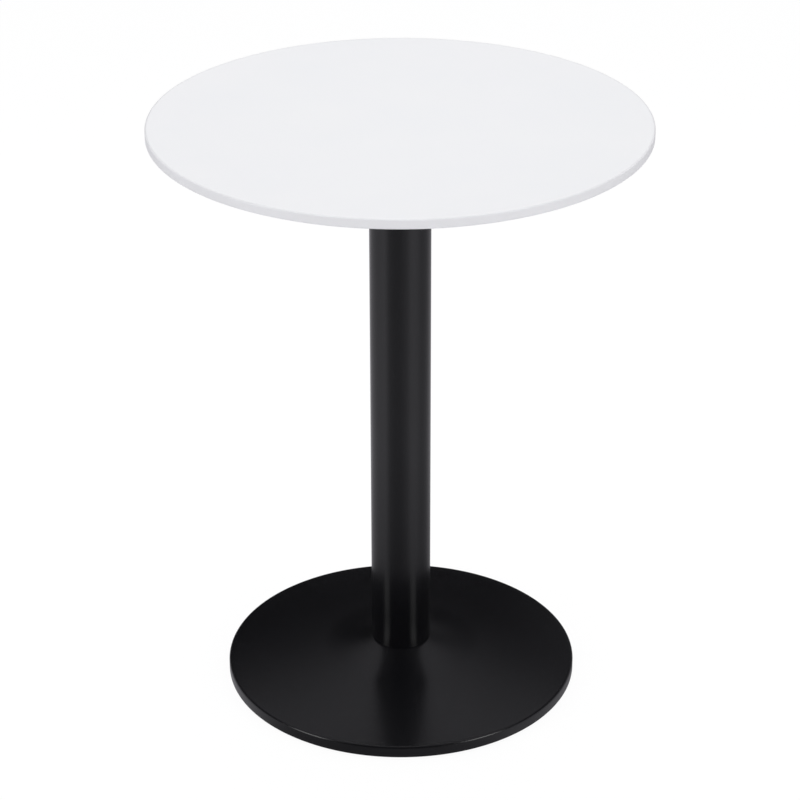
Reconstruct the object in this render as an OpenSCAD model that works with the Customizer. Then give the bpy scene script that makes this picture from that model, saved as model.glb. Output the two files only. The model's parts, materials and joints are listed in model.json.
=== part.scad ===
// Round pedestal table: white laminated top, steel tube column, domed disc base.
// Millimetres. +Z is up, the floor is z = 0 and the column's axis is x = y = 0.

/* [Table] */
// Height of the table surface over the floor
table_h = 750; // [600:5:1100]
// Diameter of the top
top_d = 600; // [450:5:800]

/* [Top] */
// Thickness of the finished top
top_t = 12; // [12:0.5:30]
// Thickness of the laminate on the upper face
face_t = 0.8; // [0.5:0.1:1.5]
// Thickness of the balancing laminate on the underside
backer_t = 0.6; // [0.4:0.1:1.2]
// Thickness of the edge band
band_t = 2; // [1:0.5:3]
// Radius of the band's two arrises
arris_r = 2; // [0.5:0.5:3]

/* [Mounting plate] */
// Side of the square plate under the top
plate_w = 220; // [200:5:300]
// Thickness of the plate
plate_t = 4; // [3:0.5:8]
// Radius of the plate's corners
plate_corner_r = 20; // [5:1:40]
// Distance between neighbouring screw holes
screw_pitch = 180; // [110:5:190]
// Height of the collar that enters the column
collar_h = 20; // [10:1:40]

/* [Column] */
// Outer diameter of the column tube
column_d = 75; // [60:0.5:90]
// Wall of the column tube
column_wall = 1.5; // [1:0.1:3]

/* [Base] */
// Diameter of the base
base_d = 446; // [420:1:456]
// Height of the base cover where the column stands on it
base_h = 44.1; // [43.4:0.1:48]
// Radius of the sphere that the cover's dome is part of
dome_r = 1350; // [1300:10:3000]
// Radius at which the dome begins to sweep up towards the column
neck_r = 100; // [90:1:110]
// Radius of the hollow curve of that sweep
neck_curve_r = 267; // [250:1:400]
// Outer radius of the cover's rim corner
rim_corner_r = 4; // [2.5:0.5:8]
// Gap between the cover's rim and the floor
rim_gap = 2.5; // [1.5:0.5:5]
// Thickness of the pressed cover
cover_t = 1.5; // [1:0.1:2]
// Height of the weight's underside over the floor
weight_z = 13; // [12:0.5:14]
// Clearance between the weight and the cover's dome
weight_clear = 0.5; // [0.3:0.1:1]

/* [Feet] */
// Distance of the feet from the table's axis
foot_ring_r = 165; // [140:1:175]
// Diameter of a foot's nylon pad
pad_d = 28; // [22:1:36]
// Height of a foot's nylon pad
pad_h = 6; // [5:0.5:7]

/* [Hidden] */

$fn = 96;
// How far a cutter runs past the solid that it cuts
cut = 1;
// How far two joined shapes of one solid run into each other
joint_overlap = 0.01;
arc_steps = 8;
dome_steps = 16;

// Colours
laminate_white = "#f1f1f4";
edging_white = "#e6e6ea";
backer_grey = "#cfd0d2";
board_brown = "#b2906a";
coat_black = "#1c1c1f";
iron_black = "#2a2a2c";
zinc_silver = "#b9bcc0";
nylon_black = "#26262a";

// Top
top_r = top_d / 2;
core_r = top_r - band_t;
top_under_z = table_h - top_t;

// Threaded insert M6: outside, bore and length
insert_r = 5;
insert_bore_r = 3;
insert_l = 9;
insert_flange_r = 6;
insert_flange_t = 0.6;

// Button head screw M6 x 12 and its plain washer
screw_r = 2.9;
screw_l = 12;
screw_head_r = 5.25;
screw_head_tip_r = 3.4;
screw_head_h = 3.3;
screw_socket_af = 4;
screw_socket_h = 2.1;
washer_r = 6;
washer_bore_r = 3.2;
washer_t = 1.6;
plate_hole_r = 3.3;

// Plate and column
plate_z = top_under_z - plate_t;
column_r = column_d / 2;
column_bore_r = column_r - column_wall;
spigot_clear = 0.2;
collar_wall = 3;
column_foot_z = base_h;

// Tie rod M10, with its weld nut, washers and nut
rod_r = 4.9;
rod_chamfer = 1;
rod_top_gap = 0.5;
rod_hole_r = 5.5;
nut_bore_r = 5;
weld_nut_af = 17;
weld_nut_h = 10;
nut_af = 16;
nut_h = 8.4;
rod_washer_r = 14;
rod_washer_bore_r = 5.3;
rod_washer_t = 2.5;
spring_washer_r = 9;
spring_washer_bore_r = 5.1;
spring_washer_t = 2.2;
spring_washer_slit = 1.2;
rod_end_out = 2;

// Centring plug in the column's foot
locator_h = 8;
locator_spigot_r = 24.8;
locator_spigot_depth = 2;
locator_web = 5;
locator_wall = 4;
cover_hole_r = 25;

// Base cover: the dome's centre lies below the floor on the table's axis. The neck is a hollow
// arc that leaves the dome at neck_angle from the vertical and meets the column at seat_angle.
base_r = base_d / 2;
neck_angle = asin(neck_r / dome_r);
neck_centre_r = neck_r + neck_curve_r * sin(neck_angle);
seat_angle = asin((neck_centre_r - column_r) / neck_curve_r);
neck_centre_z = base_h + neck_curve_r * cos(seat_angle);
under_angle = acos((neck_centre_z - base_h + cover_t) / (neck_curve_r + cover_t));
dome_centre_z = neck_centre_z - (dome_r + neck_curve_r) * cos(neck_angle);
corner_angle = asin((base_r - rim_corner_r) / (dome_r - rim_corner_r));
corner_z = dome_centre_z + (dome_r - rim_corner_r) * cos(corner_angle);

// Base weight
weight_inset = cover_t + weight_clear;
weight_rim_clear = 1;
weight_r = base_r - cover_t - weight_rim_clear;
weight_edge_r = 2;
weight_angle = asin((weight_r - weight_edge_r) / (dome_r - weight_inset - weight_edge_r));
weight_edge_z = dome_centre_z + (dome_r - weight_inset - weight_edge_r) * cos(weight_angle);
weight_seat_r = neck_centre_r - (neck_curve_r + weight_inset) * sin(seat_angle);
nut_recess_r = 17;
nut_recess_z = 22;

// Foot: M8 x 1.25 stud with a hexagon, captive in a nylon pad
stud_r = 3.96;
stud_bore_r = 4.03;
stud_head_r = 7;
stud_head_z = 2.1;
stud_head_h = 2.5;
stud_head_clear = 0.05;
stud_hex_af = 13;
stud_hex_gap = 0.35;
stud_hex_z = pad_h + stud_hex_gap;
stud_hex_h = weight_z - stud_hex_gap - stud_hex_z;
stud_chamfer = 0.8;
stud_tip_clear = 1;
stud_top_z = dome_centre_z + sqrt(pow(dome_r - weight_inset, 2) - pow(foot_ring_r, 2)) - stud_tip_clear;
pad_chamfer = 0.8;
pad_shoulder_w = 3;
pad_shoulder_h = 2;
foot_angles = [45, 135, 225, 315];

// Points along an arc of radius r about (cx, cz), from angle a0 to a1
function arc(cx, cz, r, a0, a1, steps) =
    [for (i = [0 : steps]) let (a = a0 + (a1 - a0) * i / steps) [cx + r * cos(a), cz + r * sin(a)]];

// Points along the dome, inset mm under its surface, between two angles from the vertical
function dome_arc(inset, a0, a1) =
    arc(0, dome_centre_z, dome_r - inset, 90 - a0, 90 - a1, dome_steps);

// Points along the neck, inset mm under its surface, from just past the dome's edge up to an angle
function neck_arc(inset, end_angle) =
    [for (i = [1 : arc_steps]) let (a = neck_angle + (end_angle - neck_angle) * i / arc_steps)
        [neck_centre_r - (neck_curve_r + inset) * sin(a), neck_centre_z - (neck_curve_r + inset) * cos(a)]];

// A list of points from its last to its first
function backwards(points) = [for (i = [len(points) - 1 : -1 : 0]) points[i]];

// Outline of a square of side w with rounded corners
function rounded_square(w, r) =
    [for (q = [0 : 3])
        each arc((w / 2 - r) * (q == 0 || q == 3 ? 1 : -1), (w / 2 - r) * (q < 2 ? 1 : -1),
            r, 90 * q, 90 * q + 90, arc_steps)];

// A flat ring
module ring(outer_r, inner_r, h, z) {
    translate([0, 0, z])
        difference() {
            cylinder(r = outer_r, h = h);
            translate([0, 0, -cut]) cylinder(r = inner_r, h = h + 2 * cut);
        }
}

// A hexagonal prism, af across its flats
module hexagon(af, h, z) {
    translate([0, 0, z]) cylinder(r = af / 2 / cos(30), h = h, $fn = 6);
}

// Copies at the plate's four screw positions
module at_screws() {
    for (x = [-1, 1], y = [-1, 1])
        translate([x * screw_pitch / 2, y * screw_pitch / 2, 0]) children();
}

// One copy at foot number i, counted from 0
module at_foot(i) {
    translate([foot_ring_r * cos(foot_angles[i]), foot_ring_r * sin(foot_angles[i]), 0])
        rotate([0, 0, foot_angles[i]]) children();
}

// Top

// Decorative laminate that is the table surface
module top_face_sheet() {
    color(laminate_white)
        translate([0, 0, table_h - face_t]) cylinder(r = core_r, h = face_t);
}

// Board between the two laminates, bored from below for the threaded inserts
module top_core() {
    core_z = top_under_z + backer_t;
    color(board_brown)
        difference() {
            translate([0, 0, core_z]) cylinder(r = core_r, h = top_t - face_t - backer_t);
            at_screws() translate([0, 0, core_z - cut]) cylinder(r = insert_r, h = insert_l - backer_t + cut);
        }
}

// Laminate that balances the board, open round each insert
module underside_sheet() {
    color(backer_grey)
        difference() {
            translate([0, 0, top_under_z]) cylinder(r = core_r, h = backer_t);
            at_screws() translate([0, 0, top_under_z - cut])
                cylinder(r = insert_flange_r, h = backer_t + 2 * cut);
        }
}

// Band round the edge, with both arrises rounded
module edge_band() {
    r = min(arris_r, band_t);
    color(edging_white)
        rotate_extrude()
            polygon(concat(
                [[core_r, top_under_z]],
                arc(top_r - r, top_under_z + r, r, -90, 0, arc_steps),
                arc(top_r - r, table_h - r, r, 0, 90, arc_steps),
                [[core_r, table_h]]
            ));
}

// Flanged M6 inserts pressed into the board from below
module insert_nuts() {
    color(zinc_silver)
        at_screws() difference() {
            union() {
                translate([0, 0, top_under_z]) cylinder(r = insert_flange_r, h = insert_flange_t);
                translate([0, 0, top_under_z]) cylinder(r = insert_r, h = insert_l);
            }
            translate([0, 0, top_under_z - cut]) cylinder(r = insert_bore_r, h = insert_l + 2 * cut);
        }
}

// Mounting plate

// Steel plate screwed under the top
module mounting_plate() {
    color(coat_black)
        difference() {
            translate([0, 0, plate_z])
                linear_extrude(plate_t) polygon(rounded_square(plate_w, plate_corner_r));
            at_screws() translate([0, 0, plate_z - cut]) cylinder(r = plate_hole_r, h = plate_t + 2 * cut);
        }
}

// M6 button head screws, heads down
module plate_screws() {
    head_z = plate_z - washer_t - screw_head_h;
    color(zinc_silver)
        at_screws() difference() {
            union() {
                translate([0, 0, head_z])
                    cylinder(r1 = screw_head_tip_r, r2 = screw_head_r, h = screw_head_h);
                translate([0, 0, head_z + screw_head_h - joint_overlap]) cylinder(r = screw_r, h = screw_l);
            }
            hexagon(screw_socket_af, screw_socket_h + cut, head_z - cut);
        }
}

// Plain washers under the screw heads
module plate_washers() {
    color(zinc_silver)
        at_screws() ring(washer_r, washer_bore_r, washer_t, plate_z - washer_t);
}

// Ring welded under the plate, a close fit in the column
module plate_collar() {
    r = column_bore_r - spigot_clear;
    color(coat_black) ring(r, r - collar_wall, collar_h, plate_z - collar_h);
}

// Hexagon nut welded under the plate, which takes the rod's upper end
module rod_weld_nut() {
    color(coat_black)
        difference() {
            hexagon(weld_nut_af, weld_nut_h, plate_z - weld_nut_h);
            translate([0, 0, plate_z - weld_nut_h - cut])
                cylinder(r = nut_bore_r, h = weld_nut_h + 2 * cut);
        }
}

// Column

// Straight tube, clamped between the plate and the base
module column_tube() {
    color(coat_black)
        ring(column_r, column_bore_r, plate_z - column_foot_z, column_foot_z);
}

// Threaded rod down the column's axis, which holds the whole table together
module tie_rod() {
    bottom = nut_recess_z - rod_washer_t - spring_washer_t - nut_h - rod_end_out;
    top = plate_z - rod_top_gap;
    color(zinc_silver)
        rotate_extrude()
            polygon([
                [0, bottom], [rod_r - rod_chamfer, bottom], [rod_r, bottom + rod_chamfer],
                [rod_r, top - rod_chamfer], [rod_r - rod_chamfer, top], [0, top]
            ]);
}

// Plug that centres the tube on the base: a cup in the tube and a spigot below it
module column_foot_locator() {
    r = column_bore_r - spigot_clear;
    spigot_z = column_foot_z - cover_t - locator_spigot_depth;
    web_top = column_foot_z + locator_web;
    color(zinc_silver)
        rotate_extrude()
            polygon([
                [rod_hole_r, spigot_z], [locator_spigot_r, spigot_z],
                [locator_spigot_r, column_foot_z], [r, column_foot_z],
                [r, column_foot_z + locator_h], [r - locator_wall, column_foot_z + locator_h],
                [r - locator_wall, web_top], [rod_hole_r, web_top]
            ]);
}

// Base

// Pressed steel cover: flat under the column, then a swept neck, a shallow dome and an upright rim
module base_cover() {
    rim_r = base_r - rim_corner_r;
    color(coat_black)
        rotate_extrude()
            polygon(concat(
                [[cover_hole_r, base_h]],
                backwards(neck_arc(0, seat_angle)),
                dome_arc(0, neck_angle, corner_angle),
                arc(rim_r, corner_z, rim_corner_r, 90 - corner_angle, 0, arc_steps),
                [[base_r, rim_gap], [base_r - cover_t, rim_gap]],
                arc(rim_r, corner_z, rim_corner_r - cover_t, 0, 90 - corner_angle, arc_steps),
                dome_arc(cover_t, corner_angle, neck_angle),
                neck_arc(cover_t, under_angle),
                [[cover_hole_r, base_h - cover_t]]
            ));
}

// Cast weight inside the cover: its seat carries the column and its threads take the feet
module base_weight() {
    seat_z = base_h - cover_t;
    spigot_z = seat_z - locator_spigot_depth;
    color(iron_black)
        difference() {
            rotate_extrude()
                polygon(concat(
                    [[rod_hole_r, weight_z], [weight_r - weight_edge_r, weight_z]],
                    arc(weight_r - weight_edge_r, weight_edge_z, weight_edge_r,
                        0, 90 - weight_angle, arc_steps),
                    dome_arc(weight_inset, weight_angle, neck_angle),
                    neck_arc(weight_inset, seat_angle),
                    [[weight_seat_r, seat_z], [rod_hole_r, seat_z]]
                ));
            translate([0, 0, spigot_z]) cylinder(r = cover_hole_r, h = base_h);
            translate([0, 0, weight_z - cut])
                cylinder(r = nut_recess_r, h = nut_recess_z - weight_z + cut);
            for (i = [0 : 3])
                at_foot(i) translate([0, 0, weight_z - cut]) cylinder(r = stud_bore_r, h = base_h);
        }
}

// Plain washer that bears on the weight from below
module rod_washer() {
    color(zinc_silver) ring(rod_washer_r, rod_washer_bore_r, rod_washer_t, nut_recess_z - rod_washer_t);
}

// Split spring washer, drawn closed as it is when tightened
module rod_spring_washer() {
    z = nut_recess_z - rod_washer_t - spring_washer_t;
    color(zinc_silver)
        difference() {
            ring(spring_washer_r, spring_washer_bore_r, spring_washer_t, z);
            translate([0, -spring_washer_slit / 2, z - cut])
                cube([spring_washer_r + cut, spring_washer_slit, spring_washer_t + 2 * cut]);
        }
}

// Hexagon nut that pulls the rod tight
module rod_nut() {
    z = nut_recess_z - rod_washer_t - spring_washer_t - nut_h;
    color(zinc_silver)
        difference() {
            hexagon(nut_af, nut_h, z);
            translate([0, 0, z - cut]) cylinder(r = nut_bore_r, h = nut_h + 2 * cut);
        }
}

// Feet

// Nylon pad with a socket for the stud's head; it slides down as the stud is unscrewed
module foot_pad(i) {
    head_top = stud_head_z + stud_head_h + stud_head_clear;
    color(nylon_black)
        at_foot(i) rotate_extrude()
            polygon([
                [0, 0], [pad_d / 2 - pad_chamfer, 0], [pad_d / 2, pad_chamfer],
                [pad_d / 2, pad_h - pad_shoulder_h], [pad_d / 2 - pad_shoulder_w, pad_h], [stud_bore_r, pad_h],
                [stud_bore_r, head_top], [stud_head_r + stud_head_clear, head_top],
                [stud_head_r + stud_head_clear, stud_head_z - stud_head_clear],
                [0, stud_head_z - stud_head_clear]
            ]);
}

// Screw M8 with a round head in the pad and a hexagon above it
module foot_stud(i) {
    color(zinc_silver)
        at_foot(i) union() {
            rotate_extrude()
                polygon([
                    [0, stud_head_z], [stud_head_r, stud_head_z],
                    [stud_head_r, stud_head_z + stud_head_h], [stud_r, stud_head_z + stud_head_h],
                    [stud_r, stud_top_z - stud_chamfer], [stud_r - stud_chamfer, stud_top_z],
                    [0, stud_top_z]
                ]);
            hexagon(stud_hex_af, stud_hex_h, stud_hex_z);
        }
}

module foot_pad_1() { foot_pad(0); }
module foot_pad_2() { foot_pad(1); }
module foot_pad_3() { foot_pad(2); }
module foot_pad_4() { foot_pad(3); }
module foot_stud_1() { foot_stud(0); }
module foot_stud_2() { foot_stud(1); }
module foot_stud_3() { foot_stud(2); }
module foot_stud_4() { foot_stud(3); }

top_face_sheet();
top_core();
underside_sheet();
edge_band();
insert_nuts();
mounting_plate();
plate_screws();
plate_washers();
plate_collar();
rod_weld_nut();
column_tube();
tie_rod();
column_foot_locator();
base_cover();
base_weight();
rod_washer();
rod_spring_washer();
rod_nut();
foot_pad_1();
foot_pad_2();
foot_pad_3();
foot_pad_4();
foot_stud_1();
foot_stud_2();
foot_stud_3();
foot_stud_4();
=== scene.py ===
# Round pedestal table: the looks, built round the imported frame. Metres, +Z up.
import json
import math

import bmesh
import bpy
import numpy as np
from mathutils import Matrix, Vector


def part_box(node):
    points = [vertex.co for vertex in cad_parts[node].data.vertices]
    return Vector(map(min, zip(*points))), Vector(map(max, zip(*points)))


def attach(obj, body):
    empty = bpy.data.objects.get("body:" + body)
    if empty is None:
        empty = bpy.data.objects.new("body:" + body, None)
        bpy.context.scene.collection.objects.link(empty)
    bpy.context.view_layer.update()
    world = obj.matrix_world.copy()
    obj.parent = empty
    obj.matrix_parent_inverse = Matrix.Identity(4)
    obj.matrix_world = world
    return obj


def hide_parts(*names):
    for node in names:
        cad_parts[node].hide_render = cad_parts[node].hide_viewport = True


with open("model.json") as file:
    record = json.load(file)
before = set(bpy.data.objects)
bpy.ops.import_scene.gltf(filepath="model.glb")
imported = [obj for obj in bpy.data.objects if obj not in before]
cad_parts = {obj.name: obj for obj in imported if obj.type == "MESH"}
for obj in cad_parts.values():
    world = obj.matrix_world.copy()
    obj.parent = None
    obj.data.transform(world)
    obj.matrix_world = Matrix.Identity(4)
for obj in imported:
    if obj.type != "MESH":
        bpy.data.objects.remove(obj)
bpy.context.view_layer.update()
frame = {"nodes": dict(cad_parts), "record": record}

mm = 0.001
fullTurn = 2 * math.pi
mergeDistance = 1e-7     # metres between corners that count as one
print("frame loaded:", len(frame["nodes"]), "nodes")


# A polygon's corners, each cut back by its own radius and joined by a quadratic curve that
# starts and ends on the two edges: (1-t)^2 A + 2t(1-t) P + t^2 B, with P the old corner.
def softened(corners, radius, steps=5):
    p = np.array(corners, float)
    toLast = np.roll(p, 1, axis=0) - p
    toNext = np.roll(p, -1, axis=0) - p
    lengthLast = np.linalg.norm(toLast, axis=1, keepdims=True)
    lengthNext = np.linalg.norm(toNext, axis=1, keepdims=True)
    r = np.broadcast_to(np.array(radius, float).reshape(-1, 1), (len(p), 1))
    cut = np.minimum(r, 0.5 * np.minimum(lengthLast, lengthNext))
    a = (p + toLast / lengthLast * cut)[:, None]
    b = (p + toNext / lengthNext * cut)[:, None]
    t = np.linspace(0, 1, steps + 1)[None, :, None]
    curve = (1 - t) ** 2 * a + 2 * t * (1 - t) * p[:, None] + t ** 2 * b
    return curve.reshape(-1, 2)


# Points on a circle: (centre r + radius cos, centre z + radius sin), from one angle to another
def arcPoints(centreR, centreZ, radius, start, end, steps):
    a = np.radians(np.linspace(start, end, steps + 1))
    return np.stack([centreR + radius * np.cos(a), centreZ + radius * np.sin(a)], axis=1)


# How far a regular hexagon's side lies out at angle a, for one unit across its half flats
def hexReach(a):
    return 1 / np.cos((a + math.pi / 6) % (math.pi / 3) - math.pi / 6)


# How far a hexagon's corners are chamfered down: their extra reach times tan 30, and a little
def hexDrop(flats, more=0.2):
    return flats / 2 * (hexReach(np.array([math.pi / 6]))[0] - 1) * math.tan(math.radians(30)) + more


# A screw thread seen as a height between 0 at the root and 1 at the crest: a triangle wave
# along z that moves on by one pitch in each turn, with a share of its height cut flat at each end
def threadWave(z, a, pitch, flat=0.12):
    saw = (z / pitch - a / fullTurn) % 1
    return np.clip((1 - np.abs(2 * saw - 1) - flat) / (1 - 2 * flat), 0, 1)


# Puts a list of grids of points into one mesh. Each grid has rows and columns of corners;
# doubles are merged after, which closes the seams and the poles, and faces are turned outwards.
def meshFromGrids(name, grids, sharpAngle=40):
    points, faces, start = [], [], 0
    for grid in grids:
        rows, columns = grid.shape[:2]
        index = start + np.arange(rows * columns).reshape(rows, columns)
        quad = np.stack([index[:-1, :-1], index[:-1, 1:], index[1:, 1:], index[1:, :-1]], axis=-1)
        points.append(grid.reshape(-1, 3) * mm)
        faces.append(quad.reshape(-1, 4))
        start += rows * columns
    points, faces = np.concatenate(points), np.concatenate(faces)
    mesh = bpy.data.meshes.new(name)
    mesh.vertices.add(len(points))
    mesh.vertices.foreach_set("co", points.ravel())
    mesh.loops.add(faces.size)
    mesh.loops.foreach_set("vertex_index", faces.ravel())
    mesh.polygons.add(len(faces))
    mesh.polygons.foreach_set("loop_start", np.arange(0, faces.size, 4))
    mesh.update(calc_edges=True)
    work = bmesh.new()
    work.from_mesh(mesh)
    bmesh.ops.remove_doubles(work, verts=work.verts, dist=mergeDistance)
    bmesh.ops.recalc_face_normals(work, faces=work.faces)
    work.to_mesh(mesh)
    work.free()
    mesh.validate()
    mesh.shade_smooth()
    mesh.set_sharp_from_angle(angle=math.radians(sharpAngle))
    return mesh


# An outline of (radius, height) points carried round an upright axis, once at each centre:
# (cx + r cos a, cy + r sin a, z). hexShare makes a point's ring a hexagon, threadDepth takes
# a helical thread out of it, and fluteDepth takes evenly spaced grooves out of it.
def turnedMesh(name, outline, steps=96, centres=((0, 0),), closed=False, hexShare=None,
               pitch=1, threadDepth=None, flutes=12, fluteDepth=None, sharpAngle=40):
    outline = np.vstack([outline, outline[:1]]) if closed else np.array(outline, float)
    count = len(outline)

    def perPoint(values):
        values = np.zeros(count) if values is None else np.array(values, float)
        values = np.append(values, values[0]) if closed and len(values) < count else values
        return values[:, None]

    a = np.linspace(0, fullTurn, steps + 1)[None, :]
    z = np.broadcast_to(outline[:, 1:], (count, steps + 1))
    r = outline[:, :1] * (1 + perPoint(hexShare) * (hexReach(a) - 1))
    r = r - perPoint(threadDepth) * (1 - threadWave(z, a, pitch))
    r = r - perPoint(fluteDepth) * (0.5 + 0.5 * np.cos(flutes * a)) ** 2
    grids = [np.stack([cx + r * np.cos(a), cy + r * np.sin(a), z], axis=-1) for cx, cy in centres]
    return meshFromGrids(name, grids, sharpAngle)


# An sRGB hex colour as linear numbers
def linear(hexColour):
    c = np.array([int(hexColour[i:i + 2], 16) for i in (1, 3, 5)]) / 255
    c = np.where(c <= 0.04045, c / 12.92, ((c + 0.055) / 1.055) ** 2.4)
    return (*c.tolist(), 1.0)


# Adds a node. values sets its inputs, links feeds its inputs from other nodes' outputs as
# {input: (node, output)}, and the rest are its own properties.
def addNode(tree, kind, values=None, links=None, **properties):
    node = tree.nodes.new(kind)
    for key, value in properties.items():
        setattr(node, key, value)
    for key, value in (values or {}).items():
        node.inputs[key].default_value = value
    for key, (source, output) in (links or {}).items():
        tree.links.new(source.outputs[output], node.inputs[key])
    return node


# A material with its shader's fixed numbers set on the shader, and its Object coordinates
def newMaterial(name, **shader):
    material = bpy.data.materials.new(name)
    material.use_nodes = True
    tree = material.node_tree
    tree.nodes.clear()
    bsdf = addNode(tree, "ShaderNodeBsdfPrincipled", values=shader)
    addNode(tree, "ShaderNodeOutputMaterial", links={"Surface": (bsdf, "BSDF")})
    place = addNode(tree, "ShaderNodeTexCoord")
    return material, tree, bsdf, place


print("stage 1: materials")
fineSpread = {"From Min": 0.3, "From Max": 0.7}        # the part of a fine noise that is used
mottleSpread = {"From Min": 0.35, "From Max": 0.65}    # and of a broad one


# Two tones mixed by a pattern, which is (node, output)
def mixed(tree, one, other, pattern):
    return addNode(tree, "ShaderNodeMix", {"A": linear(one), "B": linear(other)}, {"Factor": pattern},
                   data_type="RGBA")


# The end of every finish: roughness between its two limits from one pattern, bump of a given
# height in millimetres from another, and both of them and the colour led into the shader
def intoShader(tree, bsdf, look, colour, roughBy, bumpBy, heightMm):
    rough = addNode(tree, "ShaderNodeMapRange",
                    {**fineSpread, "To Min": look["roughLow"], "To Max": look["roughHigh"]},
                    {"Value": roughBy})
    bump = addNode(tree, "ShaderNodeBump", {"Strength": 1.0, "Distance": heightMm * mm},
                   {"Height": bumpBy})
    tree.links.new(colour.outputs["Result"], bsdf.inputs["Base Color"])
    tree.links.new(rough.outputs["Result"], bsdf.inputs["Roughness"])
    tree.links.new(bump.outputs["Normal"], bsdf.inputs["Normal"])


# Semi-gloss polyester powder coat, sprayed and stoved on steel. It is deep black, mirrors
# its surroundings softly and ripples very slightly, as orange peel does.
coatLook = {"dark": "#0b0b0d", "light": "#121215", "cloudMm": 70, "peelMm": 2.6, "peelHeightMm": 0.010,
            "speckleMm": 1.2, "roughLow": 0.17, "roughHigh": 0.25}


def powderCoat():
    look = coatLook
    material, tree, bsdf, place = newMaterial("semi_gloss_black_powder_coat", **{"IOR": 1.5})
    cloud = addNode(tree, "ShaderNodeTexNoise", {"Scale": 1 / (look["cloudMm"] * mm), "Detail": 3.0},
                    {"Vector": (place, "Object")})
    colour = mixed(tree, look["dark"], look["light"], (cloud, "Fac"))
    speckle = addNode(tree, "ShaderNodeTexNoise", {"Scale": 1 / (look["speckleMm"] * mm), "Detail": 2.0},
                      {"Vector": (place, "Object")})
    peel = addNode(tree, "ShaderNodeTexNoise", {"Scale": 1 / (look["peelMm"] * mm), "Detail": 1.0},
                   {"Vector": (place, "Object")})
    intoShader(tree, bsdf, look, colour, (speckle, "Fac"), (peel, "Fac"), look["peelHeightMm"])
    return material


# High-pressure laminate pressed against a fine pearl plate. It is a flat cool white with a
# soft broad sheen, broken by a very fine grain.
laminateLook = {"white": "#f0f0f2", "shade": "#edeef1", "cloudMm": 90, "grainMm": 1.1,
                "grainHeightMm": 0.012, "roughLow": 0.38, "roughHigh": 0.5}


def pearlLaminate():
    look = laminateLook
    material, tree, bsdf, place = newMaterial("white_pearl_laminate", **{"IOR": 1.48})
    cloud = addNode(tree, "ShaderNodeTexNoise", {"Scale": 1 / (look["cloudMm"] * mm), "Detail": 2.0},
                    {"Vector": (place, "Object")})
    colour = mixed(tree, look["white"], look["shade"], (cloud, "Fac"))
    grain = addNode(tree, "ShaderNodeTexNoise", {"Scale": 1 / (look["grainMm"] * mm), "Detail": 3.0},
                    {"Vector": (place, "Object")})
    intoShader(tree, bsdf, look, colour, (grain, "Fac"), (grain, "Fac"), look["grainHeightMm"])
    return material


# ABS edging, extruded and then trimmed and scraped round the disc. It is a slightly greyer
# white than the face, with faint level lines.
edgingLook = {"white": "#e9e9ec", "shade": "#e5e5e8", "cloudMm": 120, "lineMm": 0.7, "lineLengthMm": 60,
              "lineHeightMm": 0.010, "roughLow": 0.30, "roughHigh": 0.42}


def extrudedEdging():
    look = edgingLook
    material, tree, bsdf, place = newMaterial("white_extruded_abs_edging", **{"IOR": 1.53})
    cloud = addNode(tree, "ShaderNodeTexNoise", {"Scale": 1 / (look["cloudMm"] * mm), "Detail": 2.0},
                    {"Vector": (place, "Object")})
    colour = mixed(tree, look["white"], look["shade"], (cloud, "Fac"))
    along, across = 1 / (look["lineLengthMm"] * mm), 1 / (look["lineMm"] * mm)
    stretched = addNode(tree, "ShaderNodeMapping", {"Scale": (along, along, across)},
                        {"Vector": (place, "Object")})
    lines = addNode(tree, "ShaderNodeTexNoise", {"Scale": 1.0, "Detail": 2.0},
                    {"Vector": (stretched, "Vector")})
    intoShader(tree, bsdf, look, colour, (lines, "Fac"), (lines, "Fac"), look["lineHeightMm"])
    return material


# Balancing laminate: unglazed backer paper under melamine, matt and a little mottled
backerLook = {"pale": "#d6d6d4", "dark": "#cbcbc9", "mottleMm": 14, "grainMm": 1.4, "grainHeightMm": 0.02,
              "roughLow": 0.5, "roughHigh": 0.66}

# Medium-density fibreboard, sawn and sanded: brown felted fibre with darker flecks
boardLook = {"pale": "#bd9a70", "dark": "#9c7a52", "mottleMm": 3.5, "grainMm": 0.9, "grainHeightMm": 0.05,
             "roughLow": 0.75, "roughHigh": 0.92}

# Cast iron with a thin coat of matt black over its sand skin: dull, dark and grainy
ironLook = {"pale": "#26262a", "dark": "#19191b", "mottleMm": 22, "grainMm": 1.3, "grainHeightMm": 0.16,
            "roughLow": 0.5, "roughHigh": 0.72}

# Polyamide 6, injection moulded in a spark-eroded tool: black, matt, finely pitted
nylonLook = {"pale": "#232326", "dark": "#1a1a1d", "mottleMm": 9, "grainMm": 0.5, "grainHeightMm": 0.02,
             "roughLow": 0.42, "roughHigh": 0.58}


# One recipe serves the mottled, grainy finishes above: two tones mixed by a broad noise,
# with roughness and bump from a fine one
def grainy(name, look, ior):
    material, tree, bsdf, place = newMaterial(name, **{"IOR": ior})
    mottle = addNode(tree, "ShaderNodeTexNoise", {"Scale": 1 / (look["mottleMm"] * mm), "Detail": 4.0},
                     {"Vector": (place, "Object")})
    spread = addNode(tree, "ShaderNodeMapRange", mottleSpread, {"Value": (mottle, "Fac")})
    colour = mixed(tree, look["dark"], look["pale"], (spread, "Result"))
    grain = addNode(tree, "ShaderNodeTexNoise", {"Scale": 1 / (look["grainMm"] * mm), "Detail": 3.0},
                    {"Vector": (place, "Object")})
    intoShader(tree, bsdf, look, colour, (grain, "Fac"), (grain, "Fac"), look["grainHeightMm"])
    return material


# Bright zinc, electroplated and blue passivated on steel: cool silver, cloudy in tint,
# with a sheen that is softer where the plating is thicker
zincLook = {"cool": "#c3cad2", "warm": "#cfcdc6", "cloudMm": 7, "fineMm": 0.6, "fineHeightMm": 0.004,
            "roughLow": 0.2, "roughHigh": 0.36}


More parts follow.
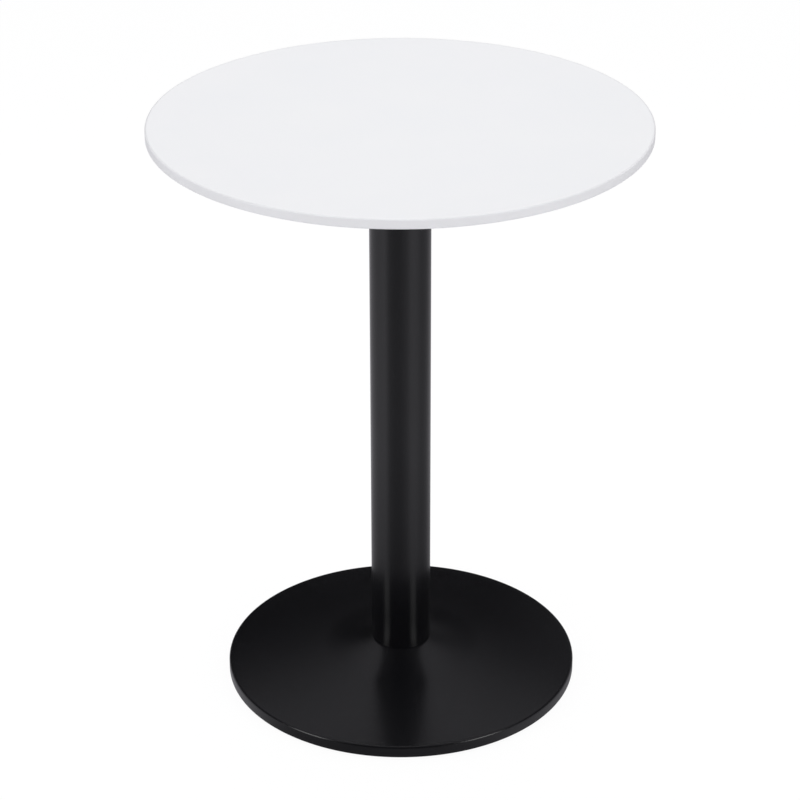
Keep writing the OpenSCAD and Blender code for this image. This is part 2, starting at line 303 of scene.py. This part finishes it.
def zincPlate():
    look = zincLook
    material, tree, bsdf, place = newMaterial("blue_passivated_zinc_plate", **{"Metallic": 1.0})
    cloud = addNode(tree, "ShaderNodeTexNoise", {"Scale": 1 / (look["cloudMm"] * mm), "Detail": 4.0},
                    {"Vector": (place, "Object")})
    spread = addNode(tree, "ShaderNodeMapRange", mottleSpread, {"Value": (cloud, "Fac")})
    colour = mixed(tree, look["cool"], look["warm"], (spread, "Result"))
    fine = addNode(tree, "ShaderNodeTexNoise", {"Scale": 1 / (look["fineMm"] * mm), "Detail": 2.0},
                   {"Vector": (place, "Object")})
    intoShader(tree, bsdf, look, colour, (cloud, "Fac"), (fine, "Fac"), look["fineHeightMm"])
    return material


finishes = {
    "black_powder_coat": powderCoat(),
    "white_laminate": pearlLaminate(),
    "white_edging": extrudedEdging(),
    "backer_laminate": grainy("grey_backer_laminate", backerLook, 1.5),
    "mdf_board": grainy("sanded_mdf", boardLook, 1.45),
    "painted_iron": grainy("painted_sand_cast_iron", ironLook, 1.5),
    "black_nylon": grainy("moulded_black_nylon", nylonLook, 1.53),
    "zinc_plated_steel": zincPlate(),
}


print("stage 2: pieces")
slotOf = {part["node"]: part["material_slot"] for part in frame["record"]["subparts"]}


# Makes a mesh an object in the finish of the node that it replaces, riding on the node's body
def addPiece(name, mesh, node, body="root"):
    piece = bpy.data.objects.new(name, mesh)
    bpy.context.scene.collection.objects.link(piece)
    mesh.materials.append(finishes[slotOf[node]])
    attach(piece, body)
    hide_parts(node)


# A node's lowest and highest heights and its half width, in millimetres
def sizeOf(node):
    low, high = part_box(node)
    return low.z / mm, high.z / mm, (high.x - low.x) / 2 / mm


# Top: face laminate and edge band, with a hairline where they meet
topStyle = {"edgeSoftness": 0.12, "softSteps": 3, "faceMargin": 1.0, "faceRings": 11, "bandWidth": 2.0,
            "arris": 2.0, "arrisSteps": 12, "arrisEnd": 88, "lipWidth": 0.2, "lipDrop": 0.02,
            "roundSteps": 384}
bandLow, bandHigh, topRadius = sizeOf("edge_band")
faceLow, faceHigh, _ = sizeOf("top_face_sheet")
topRadius = round(topRadius)
faceRadius = topRadius - topStyle["bandWidth"]


# The face sheet: level out from the axis, up its edge with the top corner softened, and
# level back to the axis, in rings of equal width
def tableFace():
    soft, count = topStyle["edgeSoftness"], topStyle["faceRings"]
    flat = faceRadius - topStyle["faceMargin"]
    edge = softened([[flat, faceLow], [faceRadius, faceLow], [faceRadius, faceHigh], [flat, faceHigh]],
                    [0, 0, soft, 0], topStyle["softSteps"])
    rings = np.linspace(0, 1, count + 1)[:, None]
    under = np.array([[0, faceLow]]) + rings[:-1] * np.array([[flat, 0]])
    over = np.array([[flat, faceHigh]]) - rings[1:] * np.array([[flat, 0]])
    outline = np.vstack([under, edge, over])
    addPiece("table_face", turnedMesh("table_face", outline, topStyle["roundSteps"]), "top_face_sheet")


# The band's section: a quarter circle of the arris radius low on its outer side, almost one
# high on it, and a straight inner side whose top corner is cut back from the face
def edgeBand():
    style = topStyle
    soft, r, steps = style["edgeSoftness"], style["arris"], style["arrisSteps"]
    outside = topRadius - r
    lower = arcPoints(outside, bandLow + r, r, -90, 0, steps)
    upper = arcPoints(outside, bandHigh - r, r, 0, style["arrisEnd"], steps)
    lip = [faceRadius + style["lipWidth"], bandHigh - style["lipDrop"]]
    inside = softened([lip, [faceRadius, bandHigh - soft], [faceRadius, bandLow + soft],
                       [faceRadius, bandLow]], [0, soft, soft, 0], style["softSteps"])
    outline = np.vstack([lower, upper, inside])
    mesh = turnedMesh("edge_band_ring", outline, style["roundSteps"], closed=True)
    addPiece("edge_band_ring", mesh, "edge_band")


tableFace()
edgeBand()


# Mounting plate: a rounded square, its edge profile carried round its outline. A row's inset
# e from the outline leaves half width w - e and corner radius r - e.
plateStyle = {"cornerRadius": 20.0, "edgeRadius": 0.8, "cornerSteps": 12, "edgeSteps": 5}


def mountingPlate():
    low, high, half = sizeOf("mounting_plate")
    style = plateStyle
    b = style["edgeRadius"]
    quarter = np.linspace(0, math.pi / 2, style["edgeSteps"] + 1)
    inset = np.concatenate([b * (1 - np.sin(quarter)), b * (1 - np.sin(quarter[::-1]))])
    height = np.concatenate([low + b * (1 - np.cos(quarter)), high - b * (1 - np.cos(quarter[::-1]))])
    a = np.linspace(0, math.pi / 2, style["cornerSteps"] + 1)
    turns = (np.arange(4) * math.pi / 2)[:, None]
    angle = (turns + a[None, :]).ravel()
    cornerAngle = np.repeat(turns.ravel() + math.pi / 4, len(a))
    angle, cornerAngle = np.append(angle, angle[0]), np.append(cornerAngle, cornerAngle[0])
    centre = (half - style["cornerRadius"]) * math.sqrt(2)
    radius = (style["cornerRadius"] - inset)[:, None]
    x = centre * np.cos(cornerAngle)[None, :] + radius * np.cos(angle)[None, :]
    y = centre * np.sin(cornerAngle)[None, :] + radius * np.sin(angle)[None, :]
    z = np.broadcast_to(height[:, None], x.shape)
    edge = np.stack([x, y, z], axis=-1)
    middleLow = edge[:1] * np.array([0, 0, 1])
    middleHigh = edge[-1:] * np.array([0, 0, 1])
    grid = np.concatenate([middleLow, edge, middleHigh])
    addPiece("top_plate", meshFromGrids("top_plate", [grid], sharpAngle=30), "mounting_plate")


mountingPlate()


# Screws under the plate: a low domed head with a hexagon socket and a short plain shank
screwStyle = {"socketFlats": 4.0, "socketDepth": 2.1, "socketBreak": 0.25, "drillDepth": 0.9,
              "drillShare": 0.85, "drillBreak": 0.1, "shankRadius": 2.9, "tipChamfer": 0.6,
              "domeSteps": 8, "roundSteps": 48, "washerRadius": 6.0, "washerBore": 3.2,
              "washerBreak": 0.25, "breakSteps": 3}
headDome = [(3.3, 0), (4.3, 0.55), (4.95, 1.5), (5.25, 2.6), (5.25, 3.3)]    # radius and height


# A screw's outline runs down the socket's wall from the drill's point to the mouth, over the
# dome in straight steps between the points of headDome, and up the shank to a chamfered tip.
# Each washer is a rectangle with its corners softened.
def plateFixings():
    style = screwStyle
    low, high, _ = sizeOf("plate_screws")
    washerLow, washerHigh, washerReach = sizeOf("plate_washers")
    at = washerReach - style["washerRadius"]
    centres = [(x * at, y * at) for x in (-1, 1) for y in (-1, 1)]
    socket, mouth, end = style["socketFlats"] / 2, style["socketBreak"], low + style["socketDepth"]
    dome = np.array(headDome)
    seat, shank, tip = low + dome[-1, 1], style["shankRadius"], style["tipChamfer"]
    t = np.linspace(0, 1, style["domeSteps"] + 1)
    knots = np.linspace(0, 1, len(dome))
    outline = np.vstack([
        [[0, end + style["drillDepth"]], [socket * style["drillShare"], end]],
        [[socket, end - style["drillBreak"]], [socket, low + mouth], [socket + mouth, low]],
        np.stack([np.interp(t, knots, dome[:, 0]), low + np.interp(t, knots, dome[:, 1])], axis=1),
        [[shank, seat], [shank, high - tip], [shank - tip, high], [0, high]],
    ])
    hexShare = np.zeros(len(outline))
    hexShare[1:5] = 0.6, 1, 1, 0.3     # nearly round again at the drill's cone and at the mouth
    steps = style["roundSteps"]
    mesh = turnedMesh("button_screws", outline, steps, centres, hexShare=hexShare, sharpAngle=32)
    addPiece("button_screws", mesh, "plate_screws")
    ring = softened([[style["washerBore"], washerLow], [style["washerRadius"], washerLow],
                     [style["washerRadius"], washerHigh], [style["washerBore"], washerHigh]],
                    style["washerBreak"], style["breakSteps"])
    mesh = turnedMesh("screw_washers", ring, steps, centres, closed=True)
    addPiece("screw_washers", mesh, "plate_washers")


plateFixings()


# Column: drawn steel tube, with its cut ends slightly broken
columnStyle = {"wall": 1.5, "endBreak": 0.4, "breakSteps": 4, "roundSteps": 192}


# A rectangle from the bore to the outer radius, with its corners broken, turned about the axis
def columnTube():
    low, high, radius = sizeOf("column_tube")
    radius = round(radius, 1)
    bore = radius - columnStyle["wall"]
    outline = softened([[bore, low], [radius, low], [radius, high], [bore, high]],
                       columnStyle["endBreak"], columnStyle["breakSteps"])
    mesh = turnedMesh("column_shaft", outline, columnStyle["roundSteps"], closed=True)
    addPiece("column_shaft", mesh, "column_tube")


columnTube()


# Base cover: a disc pressed from sheet. Its dome is part of a sphere. At the rim it turns
# down in a round corner, and towards the column it sweeps up in a hollow arc that leaves the
# sphere without a bend. The inner skin follows one sheet thickness below.
coverStyle = {"sheet": 1.5, "domeRadius": 1350.0, "neckRadius": 100.0, "neckCurve": 267.0,
              "cornerRadius": 4.0, "hole": 25.0, "rimDepth": 3.0, "rimBreak": 0.5, "breakSteps": 4,
              "roundSteps": 384, "domeSteps": 20, "neckSteps": 20, "cornerSteps": 14}


def baseCover():
    style = coverStyle
    low, high, radius = sizeOf("base_cover")
    radius, sheet, corner = round(radius), style["sheet"], style["cornerRadius"]
    columnRadius = round(sizeOf("column_tube")[2], 1)
    dome, curve = style["domeRadius"], style["neckCurve"]
    neck = math.asin(style["neckRadius"] / dome)
    neckR = style["neckRadius"] + curve * math.sin(neck)
    seat = math.asin((neckR - columnRadius) / curve)
    neckZ = high + curve * math.cos(seat)
    under = math.acos((neckZ - high + sheet) / (curve + sheet))
    middle = neckZ - (dome + curve) * math.cos(neck)
    tilt = math.asin((radius - corner) / (dome - corner))
    cornerZ = middle + (dome - corner) * math.cos(tilt)
    neck, seat, under, tilt = (math.degrees(angle) for angle in (neck, seat, under, tilt))
    outsideNeck = arcPoints(neckR, neckZ, curve, 270 - seat, 270 - neck, style["neckSteps"])
    outside = arcPoints(0, middle, dome, 90 - neck, 90 - tilt, style["domeSteps"])[1:]
    outsideCorner = arcPoints(radius - corner, cornerZ, corner, 90 - tilt, 0, style["cornerSteps"])[1:]
    rimTop = low + style["rimDepth"]
    rim = softened([[radius, rimTop], [radius, low], [radius - sheet, low], [radius - sheet, rimTop]],
                   [0, style["rimBreak"], style["rimBreak"], 0], style["breakSteps"])
    insideCorner = arcPoints(radius - corner, cornerZ, corner - sheet, 0, 90 - tilt, style["cornerSteps"])
    inside = arcPoints(0, middle, dome - sheet, 90 - tilt, 90 - neck, style["domeSteps"])[1:]
    insideNeck = arcPoints(neckR, neckZ, curve + sheet, 270 - neck, 270 - under, style["neckSteps"])[1:]
    centre = [[style["hole"], high - sheet], [style["hole"], high]]
    outline = np.vstack([outsideNeck, outside, outsideCorner, rim, insideCorner, inside, insideNeck, centre])
    addPiece("dome_cover", turnedMesh("dome_cover", outline, style["roundSteps"], closed=True), "base_cover")


baseCover()


# Tie rod and its lower fixings. The rod is threaded at its two ends and plain between them.
rodStyle = {"pitch": 1.5, "depth": 0.92, "threadLength": 34.0, "plainRadius": 4.45, "rowsPerPitch": 8,
            "chamfer": 1.0, "runOut": 1.0, "roundSteps": 36}


# The rod's radius at each height is 0 and then a chamfered radius at an end, its full radius
# less the thread's wave along a thread, and plainRadius between the two threads
def tieRod():
    style = rodStyle
    low, high, radius = sizeOf("tie_rod")
    step = style["pitch"] / style["rowsPerPitch"]
    length, chamfer, runOut = style["threadLength"], style["chamfer"], style["runOut"]
    lower = np.arange(low + chamfer, low + length, step)
    upper = np.arange(high - length, high - chamfer, step)
    middle = [low + length + runOut, high - length - runOut]
    z = np.concatenate([[low, low], lower, middle, upper, [high, high]])
    first = 2 + len(lower)      # where the plain part begins among the rows
    r = np.full(len(z), radius)
    r[[0, -1]] = 0
    r[[1, -2]] = radius - chamfer
    r[first:first + 2] = style["plainRadius"]
    threadDepth = np.zeros(len(z))
    threadDepth[2:first] = style["depth"]
    threadDepth[first + 2:-2] = style["depth"]
    mesh = turnedMesh("threaded_tie_rod", np.stack([r, z], axis=1), style["roundSteps"],
                      pitch=style["pitch"], threadDepth=threadDepth, sharpAngle=60)
    addPiece("threaded_tie_rod", mesh, "tie_rod")


flatShare = 0.95    # a hexagon's flat end, as a share of the circle inside its flats


# A nut's hexagon, with its corners chamfered at both ends: the flat end is a circle just
# inside the flats
def hexOutline(flats, low, high, bore, bevel):
    half, face, drop = flats / 2, flats / 2 * flatShare, hexDrop(flats)
    points = [[bore + bevel, low], [face, low], [half, low + drop], [half, high - drop],
              [face, high], [bore + bevel, high], [bore, high - bevel], [bore, low + bevel]]
    return np.array(points), np.array([0, 0, 1, 1, 0, 0, 0, 0])


fixingStyle = {"nutFlats": 16.0, "nutBore": 5.0, "nutBevel": 0.5, "nutSteps": 96, "washerBore": 5.3,
               "washerBreak": 0.35, "springBore": 5.1, "springSlit": 1.2, "springBreak": 0.3,
               "breakSteps": 3, "turnSteps": 72}


# The nut is the hexagon's outline turned about the axis, with its corners out by hexReach
# along the flats, and the plain washer is a softened rectangle turned about it
def rodFixings():
    style = fixingStyle
    low, high, _ = sizeOf("rod_nut")
    outline, hexShare = hexOutline(style["nutFlats"], low, high, style["nutBore"], style["nutBevel"])
    mesh = turnedMesh("hexagon_nut", outline, style["nutSteps"], closed=True, hexShare=hexShare,
                      sharpAngle=25)
    addPiece("hexagon_nut", mesh, "rod_nut")
    low, high, radius = sizeOf("rod_washer")
    ring = softened([[style["washerBore"], low], [radius, low], [radius, high], [style["washerBore"], high]],
                    style["washerBreak"], style["breakSteps"])
    mesh = turnedMesh("plain_washer", ring, style["turnSteps"], closed=True)
    addPiece("plain_washer", mesh, "rod_washer")


# Spring washer: a softened rectangle carried round the axis from one side of the slit to the
# other, its ends closed on their middles
def springWasher():
    style = fixingStyle
    low, high, radius = sizeOf("rod_spring_washer")
    ring = softened([[style["springBore"], low], [radius, low], [radius, high], [style["springBore"], high]],
                    style["springBreak"], style["breakSteps"])
    ring = np.vstack([ring, ring[:1]])
    gap = style["springSlit"] / 2 / radius
    a = np.linspace(gap, fullTurn - gap, style["turnSteps"] + 1)[:, None]
    r, z = ring[None, :, 0], ring[None, :, 1]
    body = np.stack([r * np.cos(a), r * np.sin(a), z + 0 * a], axis=-1)
    ends = [np.broadcast_to(body[i].mean(axis=0), body[i].shape)[None] for i in (0, -1)]
    grid = np.concatenate([ends[0], body, ends[1]])
    addPiece("split_washer", meshFromGrids("split_washer", [grid]), "rod_spring_washer")


tieRod()
rodFixings()
springWasher()


# Feet: a ribbed nylon pad and the stud that is captive in it
footStyle = {"studRadius": 3.96, "pitch": 1.25, "threadDepth": 0.7, "rowsPerPitch": 8, "headRadius": 7.0,
             "headLow": 2.1, "headHeight": 2.5, "headBreak": 0.4, "hexFlats": 13.0, "hexGap": 0.35,
             "tip": 0.8, "runOut": 0.6, "boreClearance": 0.07, "headClearance": 0.05, "studSteps": 48}
padStyle = {"ribs": 30, "ribDepth": 0.35, "ribsFrom": 1.4, "ribsTo": 2.4, "ringEdges": ((4, 6), (9, 11)),
            "ringDepth": 0.4, "soleBreak": 0.8, "soleRound": 0.25, "mouthBreak": 0.3, "roundSteps": 180}
padShoulder = [(0, 2), (0.3, 1.7), (2.7, 0.15), (3.1, 0)]    # in from the side and down from the top


# The pad's outline goes out along the sole over two shallow rings, up a side that is ribbed
# from ribsFrom to ribsTo, in over the shoulder, and down the bore into the stud's socket
def footPad(number):
    style, pad, node = footStyle, padStyle, f"foot_pad_{number}"
    low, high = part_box(node)
    centre = ((low.x + high.x) / 2 / mm, (low.y + high.y) / 2 / mm)
    base, top, radius = low.z / mm, high.z / mm, round((high.x - low.x) / 2 / mm, 1)
    bore, socket = style["studRadius"] + style["boreClearance"], style["headRadius"] + style["headClearance"]
    socketLow = style["headLow"] - style["headClearance"]
    socketHigh = style["headLow"] + style["headHeight"] + style["headClearance"]
    groove = pad["ringDepth"]
    sole = [[0, base]]
    for inner, outer in pad["ringEdges"]:
        sole += [[inner, base], [inner + groove, base + groove]]
        sole += [[outer - groove, base + groove], [outer, base]]
    side = [[radius - pad["soleBreak"], base], [radius - pad["soleRound"], base + pad["soleRound"]],
            [radius, base + pad["soleBreak"]], [radius, base + pad["ribsFrom"]],
            [radius, top - pad["ribsTo"]]]
    shoulder = [[radius - inset, top - down] for inset, down in padShoulder]
    neck = [[bore + pad["mouthBreak"], top], [bore, top - pad["mouthBreak"]], [bore, socketHigh],
            [socket, socketHigh], [socket, socketLow], [0, socketLow]]
    outline = np.array(sole + side + shoulder + neck)
    fluteDepth = np.zeros(len(outline))
    fluteDepth[len(sole) + 3:len(sole) + 5] = pad["ribDepth"]
    mesh = turnedMesh(f"nylon_pad_{number}", outline, pad["roundSteps"], [centre], flutes=pad["ribs"],
                      fluteDepth=fluteDepth, sharpAngle=45)
    addPiece(f"nylon_pad_{number}", mesh, node, f"foot_{number}")


# The stud's outline goes up from its round head along a plain shank, over the hexagon, along
# the thread's rows, each the shank's radius less the thread's wave, and in at a chamfered tip
def footStud(number):
    style, node = footStyle, f"foot_stud_{number}"
    low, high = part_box(node)
    padLow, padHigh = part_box(f"foot_pad_{number}")
    centre = ((padLow.x + padHigh.x) / 2 / mm, (padLow.y + padHigh.y) / 2 / mm)
    bottom, top = low.z / mm, high.z / mm
    padTop, ironLow = padHigh.z / mm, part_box("base_weight")[0].z / mm
    hexLow, hexHigh = padTop + style["hexGap"], ironLow - style["hexGap"]
    head, edge, shank, tip = style["headRadius"], style["headBreak"], style["studRadius"], style["tip"]
    headTop, runOut = bottom + style["headHeight"], style["runOut"]
    half, face, drop = style["hexFlats"] / 2, style["hexFlats"] / 2 * flatShare, hexDrop(style["hexFlats"])
    rows = np.arange(hexHigh + runOut, top - tip, style["pitch"] / style["rowsPerPitch"])
    start = np.array([[0, bottom], [head - edge, bottom], [head, bottom + edge], [head, headTop - edge],
                      [head - edge, headTop], [shank, headTop], [shank, hexLow]])
    hexagon = np.array([[face, hexLow], [half, hexLow + drop], [half, hexHigh - drop], [face, hexHigh]])
    thread = np.stack([np.full(len(rows), shank), rows], axis=1)
    end = np.array([[shank - tip, top], [0, top]])
    outline = np.vstack([start, hexagon, [[shank - runOut, hexHigh]], thread, end])
    hexShare, threadDepth = np.zeros(len(outline)), np.zeros(len(outline))
    hexShare[len(start) + 1:len(start) + 3] = 1
    threadDepth[-2 - len(rows):-2] = style["threadDepth"]
    mesh = turnedMesh(f"levelling_stud_{number}", outline, style["studSteps"], [centre], hexShare=hexShare,
                      pitch=style["pitch"], threadDepth=threadDepth, sharpAngle=50)
    addPiece(f"levelling_stud_{number}", mesh, node, f"stud_{number}")


for number in (1, 2, 3, 4):
    footPad(number)
    footStud(number)

# The rest of the frame keeps its own shape and takes its slot's finish
for name, node in frame["nodes"].items():
    if not node.hide_render:
        node.data.materials.clear()
        node.data.materials.append(finishes[slotOf[name]])


print("stage 3: floor, light and camera")

# The floor is pale and matt. In reflections it is instead a glow of painted light, uneven as a studio floor
# is under side boxes: the bearing table below says how bright it is painted at each bearing, in degrees from
# the front and counted to the right, and a painted shadow makes it dimmer close to the base.
roomStyle = {"floorHalf": 40.0, "floorGrey": "#e6e6e8", "floorWhite": 0.9, "floorGlow": 1.04,
             "tint": "#faf8ff", "shadowFullRadius": 0.2, "paintedShadowLight": 0.62, "shadowEndRadius": 0.62, "skyDiffuse": 0.6,
             "skyLow": 0.013, "skyHigh": 0.4, "skyFrom": 0.34, "skyTo": 0.66, "skyDip": 0.13,
             "skySide": 0.085, "rightFrom": 0.1, "rightTo": 0.26, "leftFrom": -0.45, "leftTo": -0.65,
             "frontFrom": -0.6, "frontTo": -0.4}
# Painted light: the floor's brightness in reflections at each bearing, standing in for the side boxes' light
# on it
paintedFloorLight = {-180: 0.6, -155: 0.66, -133: 0.52, -97: 0.56, -60: 0.79, -52: 0.68, -46: 0.5, -39: 0.38,
              -20: 0.3, 0: 0.31, 20: 0.44, 29: 0.56, 39: 0.76, 60: 0.7, 84: 0.42, 112: 0.36, 180: 0.6}


def floor():
    style, r = roomStyle, roomStyle["floorHalf"]
    mesh = bpy.data.meshes.new("floor")
    mesh.from_pydata([(-r, -r, 0), (r, -r, 0), (r, r, 0), (-r, r, 0)], [], [(0, 1, 2, 3)])
    plane = bpy.data.objects.new("floor", mesh)
    bpy.context.scene.collection.objects.link(plane)
    material = bpy.data.materials.new("pale_floor_painted_reflection")
    material.use_nodes = True
    tree = material.node_tree
    tree.nodes.clear()
    place = addNode(tree, "ShaderNodeTexCoord")
    path = addNode(tree, "ShaderNodeLightPath")
    frontUp = addNode(tree, "ShaderNodeMapping", {"Rotation": (0, 0, math.pi / 2)},
                      {"Vector": (place, "Object")})
    bearing = addNode(tree, "ShaderNodeTexGradient", None, {"Vector": (frontUp, "Vector")},
                      gradient_type="RADIAL")
    ramp = addNode(tree, "ShaderNodeValToRGB", None, {"Fac": (bearing, "Fac")})
    for angle in list(paintedFloorLight)[1:-1]:
        ramp.color_ramp.elements.new(0.5 + angle / 360)
    for stop, light in zip(ramp.color_ramp.elements, paintedFloorLight.values()):
        stop.color = (light, light, light, 1)
    away = addNode(tree, "ShaderNodeVectorMath", None, {0: (place, "Object")}, operation="LENGTH")
    # Painted shadow: in reflections the floor is dimmed close to the base, standing in for the table's
    # shadow on it
    paintedShadow = addNode(tree, "ShaderNodeMapRange",
                   {"From Min": style["shadowFullRadius"], "From Max": style["shadowEndRadius"],
                    "To Min": style["paintedShadowLight"]}, {"Value": (away, "Value")})
    mirrored = addNode(tree, "ShaderNodeMix", {"Factor": 1.0, "B": linear(style["tint"])},
                       {"A": (ramp, "Color")}, data_type="RGBA", blend_type="MULTIPLY")
    # Painted reflection: reflections see the floor as this glow, not as a lit surface
    paintedReflection = addNode(tree, "ShaderNodeEmission", None,
                        {"Color": (mirrored, "Result"), "Strength": (paintedShadow, "Result")})
    matt = addNode(tree, "ShaderNodeBsdfDiffuse", {"Color": linear(style["floorGrey"])})
    glow = addNode(tree, "ShaderNodeEmission", {"Strength": style["floorGlow"]})
    share = addNode(tree, "ShaderNodeMath", {1: style["floorWhite"]}, {0: (path, "Is Camera Ray")},
                    operation="MULTIPLY")
    seen = addNode(tree, "ShaderNodeMixShader", None,
                   {0: (share, "Value"), 1: (matt, "BSDF"), 2: (glow, "Emission")})
    whole = addNode(tree, "ShaderNodeMixShader", None,
                    {0: (path, "Is Glossy Ray"), 1: (seen, "Shader"), 2: (paintedReflection, "Emission")})
    addNode(tree, "ShaderNodeOutputMaterial", links={"Surface": (whole, "Shader")})
    mesh.materials.append(material)


# The room is plain white to the eye and an even grey as light. Reflections see a dark room
# with a bright band above it, which dips at the back and stops short of the camera's side,
# and a fainter glow low down at the sides, which reaches further back on the right.
def room():
    style = roomStyle
    world = bpy.data.worlds.new("white_room")
    bpy.context.scene.world = world
    world.use_nodes = True
    tree = world.node_tree
    tree.nodes.clear()
    path = addNode(tree, "ShaderNodeLightPath")
    place = addNode(tree, "ShaderNodeTexCoord")
    parts = addNode(tree, "ShaderNodeSeparateXYZ", None, {"Vector": (place, "Generated")})
    side = addNode(tree, "ShaderNodeMath", None, {0: (parts, "X")}, operation="ABSOLUTE")
    dip = addNode(tree, "ShaderNodeMath", {1: style["skyDip"]}, {0: (side, "Value")}, operation="MINIMUM")
    height = addNode(tree, "ShaderNodeMath", None, {0: (parts, "Z"), 1: (dip, "Value")},
                     operation="SUBTRACT")
    above = addNode(tree, "ShaderNodeMapRange",
                    {"From Min": style["skyFrom"], "From Max": style["skyTo"], "To Max": style["skyHigh"]},
                    {"Value": (height, "Value")}, interpolation_type="SMOOTHSTEP")
    right = addNode(tree, "ShaderNodeMapRange",
                    {"From Min": style["rightFrom"], "From Max": style["rightTo"],
                     "To Max": style["skySide"]}, {"Value": (parts, "X")}, interpolation_type="SMOOTHSTEP")
    left = addNode(tree, "ShaderNodeMapRange",
                   {"From Min": style["leftFrom"], "From Max": style["leftTo"],
                    "To Max": style["skySide"]}, {"Value": (parts, "X")}, interpolation_type="SMOOTHSTEP")
    sides = addNode(tree, "ShaderNodeMath", None, {0: (left, "Result"), 1: (right, "Result")},
                    operation="MAXIMUM")
    brighter = addNode(tree, "ShaderNodeMath", None, {0: (above, "Result"), 1: (sides, "Value")},
                       operation="MAXIMUM")
    behind = addNode(tree, "ShaderNodeMapRange",
                     {"From Min": style["frontFrom"], "From Max": style["frontTo"]},
                     {"Value": (parts, "Y")}, interpolation_type="SMOOTHSTEP")
    band = addNode(tree, "ShaderNodeMath", {2: style["skyLow"]},
                   {0: (brighter, "Value"), 1: (behind, "Result")}, operation="MULTIPLY_ADD")
    white = addNode(tree, "ShaderNodeBackground", {"Color": (1, 1, 1, 1), "Strength": 1.0})
    even = addNode(tree, "ShaderNodeBackground", {"Color": (1, 1, 1, 1), "Strength": style["skyDiffuse"]})
    mirrored = addNode(tree, "ShaderNodeBackground", {"Color": linear(style["tint"])},
                       {"Strength": (band, "Value")})
    lit = addNode(tree, "ShaderNodeMixShader", None,
                  {0: (path, "Is Glossy Ray"), 1: (even, "Background"), 2: (mirrored, "Background")})
    whole = addNode(tree, "ShaderNodeMixShader", None,
                    {0: (path, "Is Camera Ray"), 1: (lit, "Shader"), 2: (white, "Background")})
    addNode(tree, "ShaderNodeOutputWorld", links={"Surface": (whole, "Shader")})


# Soft boxes: bearing from the front and height in degrees, distance, width and height in
# metres, power in watts, and whether reflections see them. All of them point at the column.
aimHeight = 0.35
lamps = {
    "overhead_box": {"bearing": 180, "up": 80, "away": 2.6, "size": (2.6, 2.6), "power": 33, "gloss": False},
    "front_box": {"bearing": 0, "up": 25, "away": 3.4, "size": (2.4, 1.6), "power": 6, "gloss": False},
    "left_box": {"bearing": -57, "up": 14, "away": 2.8, "size": (1.0, 1.1), "power": 13, "gloss": True},
    "right_box": {"bearing": 50, "up": 14, "away": 2.8, "size": (1.0, 1.1), "power": 14, "gloss": True},
}


# A box stands at aimHeight plus its distance along (sin b cos e, -cos b cos e, sin e), where b
# is its bearing and e its height, and it faces back along that line
def softBox(name, bearing, up, away, size, power, gloss):
    light = bpy.data.lights.new(name, "AREA")
    light.shape = "RECTANGLE"
    light.size, light.size_y = size
    light.energy = power
    lamp = bpy.data.objects.new(name, light)
    bpy.context.scene.collection.objects.link(lamp)
    b, e = math.radians(bearing), math.radians(up)
    out = Vector((math.sin(b) * math.cos(e), -math.cos(b) * math.cos(e), math.sin(e)))
    lamp.location = Vector((0, 0, aimHeight)) + out * away
    lamp.rotation_euler = (-out).to_track_quat("-Z", "Y").to_euler()
    lamp.visible_camera = False
    lamp.visible_glossy = gloss


# A long lens in front and above: lens and film width in millimetres, place and reach in
# metres, and downward tilt, lean to the right and turn to the left in degrees
cameraStyle = {"lens": 119.04, "film": 36.0, "at": (0, -2.9302, 1.8551), "down": 26.689,
               "lean": 0.117, "turn": 0.0135, "reach": 200}


def addCamera():
    style = cameraStyle
    data = bpy.data.cameras.new("view")
    data.lens, data.sensor_width = style["lens"], style["film"]
    data.clip_end = style["reach"]
    camera = bpy.data.objects.new("view", data)
    bpy.context.scene.collection.objects.link(camera)
    camera.location = style["at"]
    turn = Matrix.Rotation(math.radians(style["turn"]), 3, "Z")
    tilt = Matrix.Rotation(math.radians(90 - style["down"]), 3, "X")
    lean = Matrix.Rotation(math.radians(-style["lean"]), 3, "Z")
    camera.rotation_euler = (turn @ tilt @ lean).to_euler()
    bpy.context.scene.camera = camera


floor()
room()
for name, lamp in lamps.items():
    softBox(name, **lamp)
addCamera()
bpy.context.scene.view_settings.view_transform = "Standard"

print("stage 4: finished")
